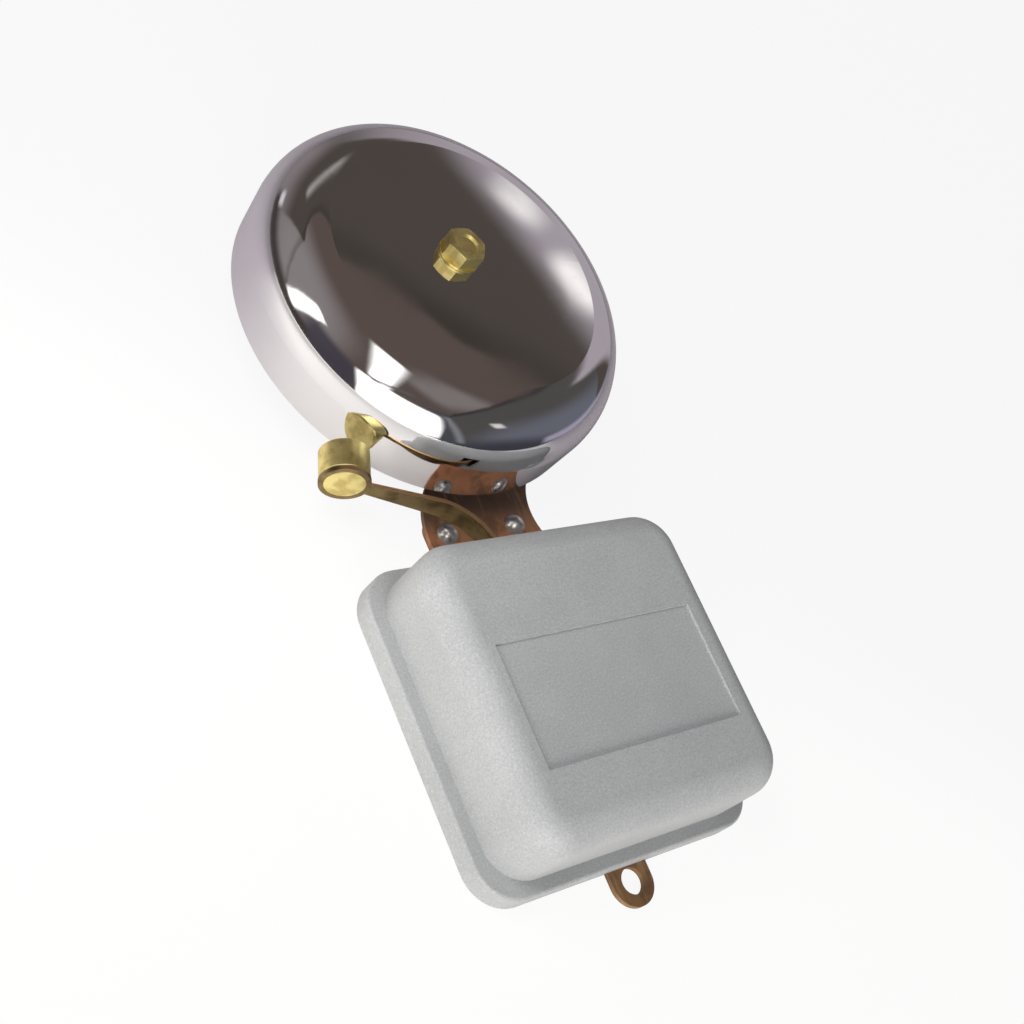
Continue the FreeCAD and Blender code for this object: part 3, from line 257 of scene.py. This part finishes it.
# What polished metal mirrors: a dim brown room with windows on the left and a pale wall on the right.
# A wash lies on one side of each of its cuts: (azimuth, elevation, where it starts, where it is full).
# A pane is a soft rectangle: where it is, its half sizes and its soft edge in degrees, and its roll.
# Each layer lies over the ones before it, and a cut at elevation 90 is a height in the room.
room = {
    "ceiling": (0.115, 0.087, 0.076),
    "paper": (0.945, 0.94, 0.94),  # the backdrop, which only the camera sees
    "sky": (0.97, 0.98, 1.0),  # the soft light on all that isn't mirrored
    "skyStrength": 0.33,
    "grazing": 0.02,  # a pane shows only ahead of the plane square to it
    "layers": [
        # the ceiling: greyer on the left, a paler patch, and darker to the lower right
        {"cuts": [(145, 28, 0.60, 0.97)], "share": 0.9, "colour": (0.298, 0.270, 0.270)},
        {"pane": (-62, 68), "half": (17, 12), "soft": 8, "share": 0.8, "colour": (0.26, 0.235, 0.23)},
        {"cuts": [(145.1, 31.2, 0.006, -0.01)], "colour": (0.088, 0.083, 0.080)},
        {"cuts": [(-40, -5, 0.62, 0.86)], "colour": (0.146, 0.153, 0.187)},
        {"cuts": [(-62, -18, 0.74, 0.92)], "colour": (0.049, 0.049, 0.064)},
        # a dark beam across it
        {"cuts": [(145.1, 31.2, 0.016, 0.008), (145.1, 31.2, -0.034, -0.018), (-23, 0, -0.2, 0.1)],
         "share": 0.85, "colour": (0.040, 0.038, 0.038)},
        # the far end of the ceiling, with its two dark edges
        {"cuts": [(0, 90, 0.728, 0.720), (-109, 36.5, 0.005, -0.004), (81, -31, -0.006, 0.004),
                  (20, 0, -0.07, -0.01)], "colour": (0.083, 0.069, 0.060)},
        {"cuts": [(0, 90, 0.726, 0.720), (0, 90, 0.68, 0.715), (-109, 36.5, 0.005, -0.004),
                  (81, -31, -0.006, 0.004), (20, 0, -0.07, -0.01)],
         "share": 0.4, "colour": (0.040, 0.033, 0.029)},
        {"cuts": [(0, 90, 0.728, 0.720), (-109, 36.5, 0.005, -0.004), (-109, 36.5, -0.075, -0.02),
                  (81, -31, -0.006, 0.004)], "share": 0.4, "colour": (0.040, 0.033, 0.029)},
        # the pale wall on the right, with two glints along its top, and the dim wall left of it
        {"cuts": [(179.9, 52.5, 0.03, -0.05), (96, 0, -0.02, 0.06), (-15, 0, 0.02, 0.55)],
         "colour": (0.439, 0.392, 0.427)},
        {"pane": (36.6, 28.9), "half": (1.6, 0.9), "soft": 1.4, "roll": 10, "colour": (1.25, 1.22, 1.18)},
        {"pane": (28.9, 31.3), "half": (2.2, 1.0), "soft": 1.2, "roll": 22, "colour": (1.25, 1.20, 1.16)},
        {"pane": (100, 0), "half": (30, 18), "soft": 14, "colour": (0.252, 0.218, 0.226)},
        # the dark ring low on the left
        {"pane": (192, 14), "half": (21, 18), "soft": 8, "share": 0.9, "colour": (0.060, 0.053, 0.072)},
        {"pane": (140, 4), "half": (38, 7), "soft": 6, "colour": (0.060, 0.049, 0.046)},
        # what lies below: the pale bench and a lilac strip at its edge
        {"cuts": [(0, 90, -0.08, -0.34)], "colour": (0.722, 0.659, 0.659)},
        {"pane": (-18, 0), "half": (24, 4), "soft": 3, "roll": 12, "colour": (0.381, 0.354, 0.458)},
        # small pale patches and a faint streak
        {"pane": (-60, 38), "half": (3, 3), "soft": 1.5, "colour": (0.82, 0.78, 0.74)},
        {"pane": (72, 36), "half": (13, 1.5), "soft": 2.5, "share": 0.4, "colour": (0.98, 0.93, 0.88)},
        {"pane": (105, 9), "half": (3.5, 3), "soft": 2, "colour": (0.72, 0.70, 0.72)},
        # the windows, a dark curtain with a paler fold beside the large one, and a bar between two
        {"pane": (163, 25), "half": (5.5, 17), "soft": 2.5, "roll": 16, "colour": (2.6, 2.58, 2.48)},
        {"pane": (-98, 20), "half": (9, 24), "soft": 2.0, "roll": -8, "colour": (0.072, 0.075, 0.085)},
        {"pane": (-90, 22), "half": (2, 18), "soft": 2.0, "roll": -8, "share": 0.7,
         "colour": (0.30, 0.30, 0.32)},
        {"pane": (-124, 18), "half": (23, 19), "soft": 3.5, "roll": -6, "colour": (3.4, 3.36, 3.24)},
        {"pane": (-139, 62), "half": (5.5, 24), "soft": 4.0, "colour": (3.0, 2.96, 2.86)},
        {"pane": (-131, 44), "half": (1.6, 13), "soft": 1.2, "roll": 52, "share": 0.85,
         "colour": (0.12, 0.12, 0.13)},
    ],
}


def roomWorld(tree):
    direction = tree.add("ShaderNodeTexCoord", out="Generated")

    def washed(layer):
        share = layer.get("share", 1.0)
        for azimuth, elevation, start, full in layer["cuts"]:
            share = share * tree.ease(tree.along(direction, towards(azimuth, elevation)), start, full)
        return share

    def pane(layer):
        forward = towards(*layer["pane"])
        right = forward.cross(Vector((0, 0, 1))).normalized()
        turn = Matrix.Rotation(math.radians(layer.get("roll", 0)), 3, -forward)
        ahead = tree.along(direction, forward)
        share = layer.get("share", 1.0) * (ahead > room["grazing"])
        for side, half in zip((right, right.cross(forward)), layer["half"]):
            reach = tree.add("ShaderNodeMath", {"operation": "ABSOLUTE"},
                             [tree.along(direction, turn @ side) / ahead])
            edge, soft = math.tan(math.radians(half)), math.tan(math.radians(layer["soft"]))
            share = share * tree.ease(reach, edge + soft, edge - soft)
        return share

    picture = room["ceiling"]
    for layer in room["layers"]:
        picture = tree.mixed(pane(layer) if "pane" in layer else washed(layer), picture, layer["colour"])
    background, path = "ShaderNodeBackground", "ShaderNodeLightPath"
    mirrored = tree.add(background, None, {"Color": picture, "Strength": 1.0})
    sky = tree.add(background, None, {"Color": room["sky"], "Strength": room["skyStrength"]})
    paper = tree.add(background, None, {"Color": room["paper"], "Strength": 1.0})
    lit = tree.add("ShaderNodeMixShader", None, [tree.add(path, out="Is Glossy Ray"), sky, mirrored])
    seen = tree.add("ShaderNodeMixShader", None, [tree.add(path, out="Is Camera Ray"), lit, paper])
    tree.add("ShaderNodeOutputWorld", None, {"Surface": seen})


def makeWorld():
    world = bpy.data.worlds.new("room")
    bpy.context.scene.world = world
    roomWorld(Tree(world))


# In each finish a noise is (waves to the metre, detail, stretch), what fades in is (where it starts,
# where it is full, its share), a bump is (depth in metres, strength) and an edge is its soft radius.
moulding = {
    "colour": (0.405, 0.412, 0.415), "dark": (0.375, 0.381, 0.386),
    "fleck": (0.50, 0.505, 0.51), "pit": (0.31, 0.315, 0.32),
    "cloud": (60.0, 3.0), "fine": (2600.0, 2.0),
    "cloudFades": (0.35, 0.65), "fleckFades": (0.50, 0.72, 0.6), "pitFades": (0.50, 0.30, 0.6),
    "rough": 0.42, "roughCloud": 0.10, "roughFine": 0.06, "gloss": 0.45,
    "bump": (0.00004, 0.6), "edge": 0.0001,
}


def mouldingFinish(tree):
    cloud = tree.noise(*moulding["cloud"])
    fine = tree.noise(*moulding["fine"])
    colour = tree.mixed(tree.ease(cloud, *moulding["cloudFades"]), moulding["colour"], moulding["dark"])
    colour = tree.mixed(tree.ease(fine, *moulding["fleckFades"]), colour, moulding["fleck"])
    colour = tree.mixed(tree.ease(fine, *moulding["pitFades"]), colour, moulding["pit"])
    rough = moulding["rough"] + moulding["roughCloud"] * cloud + moulding["roughFine"] * fine
    peel = tree.bumped(fine, *moulding["bump"], tree.softEdge(moulding["edge"]))
    tree.surface({"Base Color": colour, "Roughness": rough, "Normal": peel,
                  "Specular IOR Level": moulding["gloss"]})


chrome = {
    "colour": (0.80, 0.795, 0.81), "smeared": (0.74, 0.73, 0.74),
    "smear": (45.0, 4.0), "hair": (900.0, 2.0, (0.35, 1.0, 1.0)), "ripple": (38.0, 1.0),
    "smearedFades": (0.4, 0.7, 0.5), "smearFades": (0.45, 0.75), "hairFades": (0.62, 0.8),
    "rough": 0.045, "roughSmear": 0.07, "roughHair": 0.03,
    "rippleBump": (0.00012, 0.5), "hairBump": (0.000002, 0.3),
}


def chromeFinish(tree):
    smear = tree.noise(*chrome["smear"])
    hair = tree.noise(*chrome["hair"])
    rough = chrome["rough"] + chrome["roughSmear"] * tree.ease(smear, *chrome["smearFades"])
    rough = rough + chrome["roughHair"] * tree.ease(hair, *chrome["hairFades"])
    ripple = tree.bumped(tree.noise(*chrome["ripple"]), *chrome["rippleBump"])
    colour = tree.mixed(tree.ease(smear, *chrome["smearedFades"]), chrome["colour"], chrome["smeared"])
    tree.surface({"Base Color": colour, "Metallic": 1.0, "Roughness": rough,
                  "Normal": tree.bumped(hair, *chrome["hairBump"], ripple)})


brass = {
    "bright": (0.96, 0.82, 0.34), "tarnished": (0.70, 0.56, 0.20), "pale": (0.99, 0.93, 0.56),
    "patch": (330.0, 4.0), "speck": (2200.0, 2.0), "turned": (1500.0, 1.0, (1.0, 0.15, 1.0)),
    "patchFades": (0.42, 0.66), "speckFades": (0.58, 0.74, 0.5),
    "rough": 0.31, "roughPatch": 0.14, "roughSpeck": 0.06, "bump": (0.00001, 0.6), "edge": 0.00015,
}


def brassFinish(tree):
    patch = tree.noise(*brass["patch"])
    speck = tree.noise(*brass["speck"])
    colour = tree.mixed(tree.ease(patch, *brass["patchFades"]), brass["bright"], brass["tarnished"])
    colour = tree.mixed(tree.ease(speck, *brass["speckFades"]), colour, brass["pale"])
    turned = tree.noise(*brass["turned"])
    rough = brass["rough"] + brass["roughPatch"] * patch + brass["roughSpeck"] * speck
    tree.surface({"Base Color": colour, "Metallic": 1.0, "Roughness": rough,
                  "Normal": tree.bumped(turned + speck, *brass["bump"], tree.softEdge(brass["edge"]))})


# The strip is painted darker on its broad faces and lighter where it faces up: painted shade and a painted
# highlight, for how the light falls on it.
stripBrass = {
    # the first tone is the painted shade of the broad faces; the last is the painted highlight of the
    # up-facing edge
    "face": (0.34, 0.25, 0.11), "dark": (0.17, 0.11, 0.05), "paintedHighlight": (0.78, 0.50, 0.28),
    "patch": (260.0, 4.0), "rolled": (1800.0, 2.0, (1.0, 0.12, 1.0)),
    "patchFades": (0.38, 0.68), "paintedHighlightFades": (0.75, 0.95),
    "rough": 0.28, "roughPatch": 0.2, "bump": (0.000012, 0.7), "edge": 0.00012,
}


def stripBrassFinish(tree):
    patch = tree.noise(*stripBrass["patch"])
    rolled = tree.noise(*stripBrass["rolled"])
    colour = tree.mixed(tree.ease(patch, *stripBrass["patchFades"]), stripBrass["face"], stripBrass["dark"])
    # painted highlight: faces turned up get the lighter colour
    facing = tree.along(tree.add("ShaderNodeNewGeometry", out="Normal"), (0.0, 0.0, 1.0))
    colour = tree.mixed(tree.ease(facing, *stripBrass["paintedHighlightFades"]), colour, stripBrass["paintedHighlight"])
    rough = stripBrass["rough"] + stripBrass["roughPatch"] * patch
    tree.surface({"Base Color": colour, "Metallic": 1.0, "Roughness": rough,
                  "Normal": tree.bumped(rolled, *stripBrass["bump"], tree.softEdge(stripBrass["edge"]))})


# The plates are redder from the lug towards the neck, and painted darker near the gong: painted shade, where
# the gong shades them.
lacquer = {
    # the tone laid on near the gong is painted shade, where the gong shades the plate
    "lug": (0.30, 0.165, 0.07), "neck": (0.52, 0.225, 0.11), "paintedGongShade": (0.19, 0.11, 0.07),
    "dark": (0.17, 0.095, 0.05), "streak": (0.50, 0.30, 0.16),
    "reddens": (0.0, 0.06), "paintedGongShadeFades": (0.068, 0.074),  # along the plate from its lug
    "patch": (240.0, 5.0), "rubbed": (700.0, 3.0, (1.0, 0.2, 1.0)),
    "patchFades": (0.46, 0.66, 0.8), "rubbedFades": (0.52, 0.72, 0.5),
    "metallic": 0.4, "rough": 0.34, "roughPatch": 0.2, "coat": 0.35, "coatRough": 0.2,
    "bump": (0.000015, 0.7), "edge": 0.00012,
}


def lacquerFinish(tree):
    patch = tree.noise(*lacquer["patch"])
    rubbed = tree.noise(*lacquer["rubbed"])
    along = tree.along(tree.place(), (0.0, 1.0, 0.0))
    colour = tree.mixed(tree.ease(along, *lacquer["reddens"]), lacquer["lug"], lacquer["neck"])
    # painted shade: darker near the gong, where the gong shades the plate
    colour = tree.mixed(tree.ease(along, *lacquer["paintedGongShadeFades"]), colour, lacquer["paintedGongShade"])
    colour = tree.mixed(tree.ease(patch, *lacquer["patchFades"]), colour, lacquer["dark"])
    colour = tree.mixed(tree.ease(rubbed, *lacquer["rubbedFades"]), colour, lacquer["streak"])
    tree.surface({"Base Color": colour, "Metallic": lacquer["metallic"],
                  "Roughness": lacquer["rough"] + lacquer["roughPatch"] * patch,
                  "Coat Weight": lacquer["coat"], "Coat Roughness": lacquer["coatRough"],
                  "Normal": tree.bumped(rubbed, *lacquer["bump"], tree.softEdge(lacquer["edge"]))})


# The smaller pieces have one cloud between two tones, which roughens them as it goes: (least, more).
# The bump follows the cloud too, where a look has no grain of its own.
zinc = {
    "tones": ((0.62, 0.62, 0.60), (0.46, 0.465, 0.47)), "cloud": (420.0, 4.0), "fades": (0.35, 0.7),
    "grain": (1500.0, 2.0, (0.15, 1.0, 1.0)), "rough": (0.3, 0.18), "bump": (0.00001, 0.7),
    "edge": 0.00012, "plain": {"Metallic": 1.0},
}
plainLooks = {
    "post_steel": zinc,
    "frame_steel": zinc,
    "nickel_rivet": {
        "tones": ((0.86, 0.85, 0.83), (0.74, 0.73, 0.71)), "cloud": (700.0, 3.0),
        "grain": (2500.0, 3.0), "rough": (0.24, 0.12), "bump": (0.00001, 0.6),
        "plain": {"Metallic": 1.0},
    },
    "soft_iron": {
        "tones": ((0.34, 0.34, 0.35), (0.20, 0.20, 0.21)), "cloud": (500.0, 5.0), "fades": (0.35, 0.7),
        "rough": (0.4, 0.2), "bump": (0.00003, 0.7), "edge": 0.00015, "plain": {"Metallic": 0.9},
    },
    "spring_steel": {
        "tones": ((0.36, 0.39, 0.46), (0.50, 0.50, 0.52)), "cloud": (1500.0, 2.0, (1.0, 0.1, 1.0)),
        "rough": (0.22, 0.15), "bump": (0.000008, 0.6), "plain": {"Metallic": 1.0},
    },
    "fibre": {
        "tones": ((0.30, 0.085, 0.05), (0.16, 0.045, 0.03)), "cloud": (1600.0, 4.0, (0.4, 1.0, 1.0)),
        "rough": (0.75, 0.0), "bump": (0.00003, 0.8),
    },
    "bobbin_plastic": {
        "tones": ((0.72, 0.69, 0.58), (0.62, 0.58, 0.46)), "cloud": (250.0, 3.0),
        "rough": (0.3, 0.1), "bump": (0.00002, 0.4), "edge": 0.0001,
    },
    "enamelled_copper": {
        "tones": ((0.50, 0.17, 0.06), (0.34, 0.10, 0.035)), "cloud": (600.0, 3.0),
        "rough": (0.25, 0.12), "bump": (0.00001, 0.4),
        "plain": {"Metallic": 0.85, "Coat Weight": 0.6, "Coat Roughness": 0.15},
    },
    "block_plastic": {
        "tones": ((0.030, 0.024, 0.022), (0.052, 0.040, 0.036)), "cloud": (300.0, 4.0),
        "grain": (2000.0, 3.0), "rough": (0.32, 0.2), "bump": (0.00001, 0.5), "edge": 0.00015,
    },
    "lead_insulation": {
        "tones": ((0.45, 0.035, 0.03), (0.33, 0.025, 0.02)), "cloud": (500.0, 2.0),
        "grain": (1800.0, 3.0), "rough": (0.38, 0.1), "bump": (0.00001, 0.4),
    },
}


def plainFinish(tree, look):
    cloud = tree.noise(*look["cloud"])
    tone = tree.ease(cloud, *look["fades"]) if "fades" in look else cloud
    grain = tree.noise(*look["grain"]) if "grain" in look else cloud
    edge = tree.softEdge(look["edge"]) if "edge" in look else None
    least, more = look["rough"]
    tree.surface({"Base Color": tree.mixed(tone, *look["tones"]),
                  "Roughness": least + more * cloud if more else least,
                  "Normal": tree.bumped(grain, *look["bump"], edge), **look.get("plain", {})})


# The CAD windings are plain sleeves; their outer layer of wire is wound here, each as one helix.
winding = {"node": "coil_windings", "wire": 0.00036, "acrossWire": 6, "round": 72, "bore": 0.0034}


def woundPoint(along, reach, turn, axis):
    angle = 2 * math.pi * turn
    return along, axis[0] + reach * math.cos(angle), axis[1] + reach * math.sin(angle)


def windCoil(name, left, right, outer, axis, copper):
    wire, around = winding["wire"], winding["round"]
    rows = round((right - left) / wire * winding["acrossWire"])
    ring = [(left, None)] + [(left + (right - left) * row / rows, outer) for row in range(rows + 1)]
    ring.append((right, None))
    points = []
    for along, radius in ring:
        for step in range(around):
            turn = step / around
            across = (along / wire - turn) % 1.0 - 0.5
            dip = wire * (0.5 - math.sqrt(0.25 - across * across))  # each wire is a half circle
            points.append(woundPoint(along, radius - dip if radius else winding["bore"], turn, axis))
    faces = []
    for row in range(len(ring)):
        here, there = row * around, (row + 1) % len(ring) * around
        for step in range(around):
            after = (step + 1) % around
            faces.append((here + step, there + step, there + after, here + after))
    mesh = bpy.data.meshes.new(name)
    mesh.from_pydata(points, [], faces)
    mesh.polygons.foreach_set("use_smooth", [True] * len(faces))
    coil = bpy.data.objects.new(name, mesh)
    bpy.context.collection.objects.link(coil)
    mesh.materials.append(copper)
    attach(coil, "chassis")
    return coil


def windCoils(copper):
    low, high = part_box(winding["node"])
    outer, middle = (high[2] - low[2]) / 2, (high[2] + low[2]) / 2
    for name, along in (("coil_wire_near", low[1] + outer), ("coil_wire_far", high[1] - outer)):
        coil = windCoil(name, low[0], high[0], outer, (along, middle), copper)
        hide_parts(winding["node"])


# The leaf spring bends between its clamp and the armature, so it is cut across where it is free.
leaf = {"node": "armature_spring", "clamp": "spring_clamp", "armature": "armature", "cuts": 10}


def bendLeaf():
    mesh = nodes[leaf["node"]].data.copy()
    start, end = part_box(leaf["clamp"])[1][1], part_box(leaf["armature"])[0][1]
    shape = bmesh.new()
    shape.from_mesh(mesh)
    for cut in range(leaf["cuts"] + 1):
        along = start + (end - start) * cut / leaf["cuts"]
        bmesh.ops.bisect_plane(shape, geom=shape.verts[:] + shape.edges[:] + shape.faces[:],
                               plane_co=(0, along, 0), plane_no=(0, 1, 0))
    shape.to_mesh(mesh)
    shape.free()
    strip = bpy.data.objects.new("armature_leaf", mesh)
    bpy.context.collection.objects.link(strip)
    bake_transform(strip)
    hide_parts(leaf["node"])


finishes = {
    "lacquered_plate": lacquerFinish,
    "gong_chrome": chromeFinish,
    "brass": brassFinish,
    "spring_brass": stripBrassFinish,
    "grey_moulding": mouldingFinish,
}


def makeFinishes():
    made = {slot: makeFinish(slot, build) for slot, build in finishes.items()}
    for slot, look in plainLooks.items():
        made[slot] = makeFinish(slot, plainFinish, look)
    return made


def dressNodes(made):
    for subpart in frame["record"]["subparts"]:
        mesh = nodes[subpart["node"]].data
        mesh.materials.clear()
        mesh.materials.append(made[subpart["material_slot"]])


makeCamera()
makeFloor()
makeLamps()
makeWorld()
print("camera, floor, lamps and room made")
made = makeFinishes()
dressNodes(made)
print(len(made), "finishes made")
windCoils(made["enamelled_copper"])
bendLeaf()
